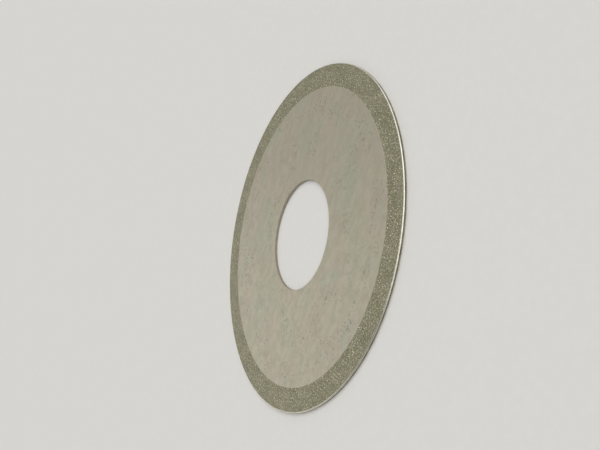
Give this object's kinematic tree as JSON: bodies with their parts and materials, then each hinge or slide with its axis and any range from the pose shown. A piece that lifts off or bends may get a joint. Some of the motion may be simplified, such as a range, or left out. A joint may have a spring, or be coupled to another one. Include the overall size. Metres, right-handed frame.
{
  "type": "diamond grinding wheel",
  "caption": "Thin flat nickel-plated steel disc with a large plain bore and a band of diamond grit bonded round the edge of both faces, for grinding and trimming stone.",
  "frame": {"origin": "the wheel's centre: on the bore's axis, midway between the two faces", "axes": "+Z along the bore's axis, out of the front face, with the wheel lying flat on its back face; X and Y are any two radii, because the wheel is round"},
  "size_m": [0.1, 0.1, 0.0008],
  "materials": {
    "core_steel": "ground, under the plating",
    "face_nickel": "satin nickel with faint mottling",
    "bore_nickel": "satin nickel over a turned wall",
    "bond_nickel": "nodular matt nickel",
    "rim_nickel": "smooth bright nickel",
    "diamond_grit": "sharp olive-grey crystals standing out of the bond"
  },
  "bodies": {
    "root": {"steel_core": "core_steel", "front_face_plating": "face_nickel", "back_face_plating": "face_nickel", "bore_plating": "bore_nickel", "front_bond_band": "bond_nickel", "back_bond_band": "bond_nickel", "rim_plating": "rim_nickel", "front_diamond_grit": "diamond_grit", "back_diamond_grit": "diamond_grit"}
  },
  "joints": []
}
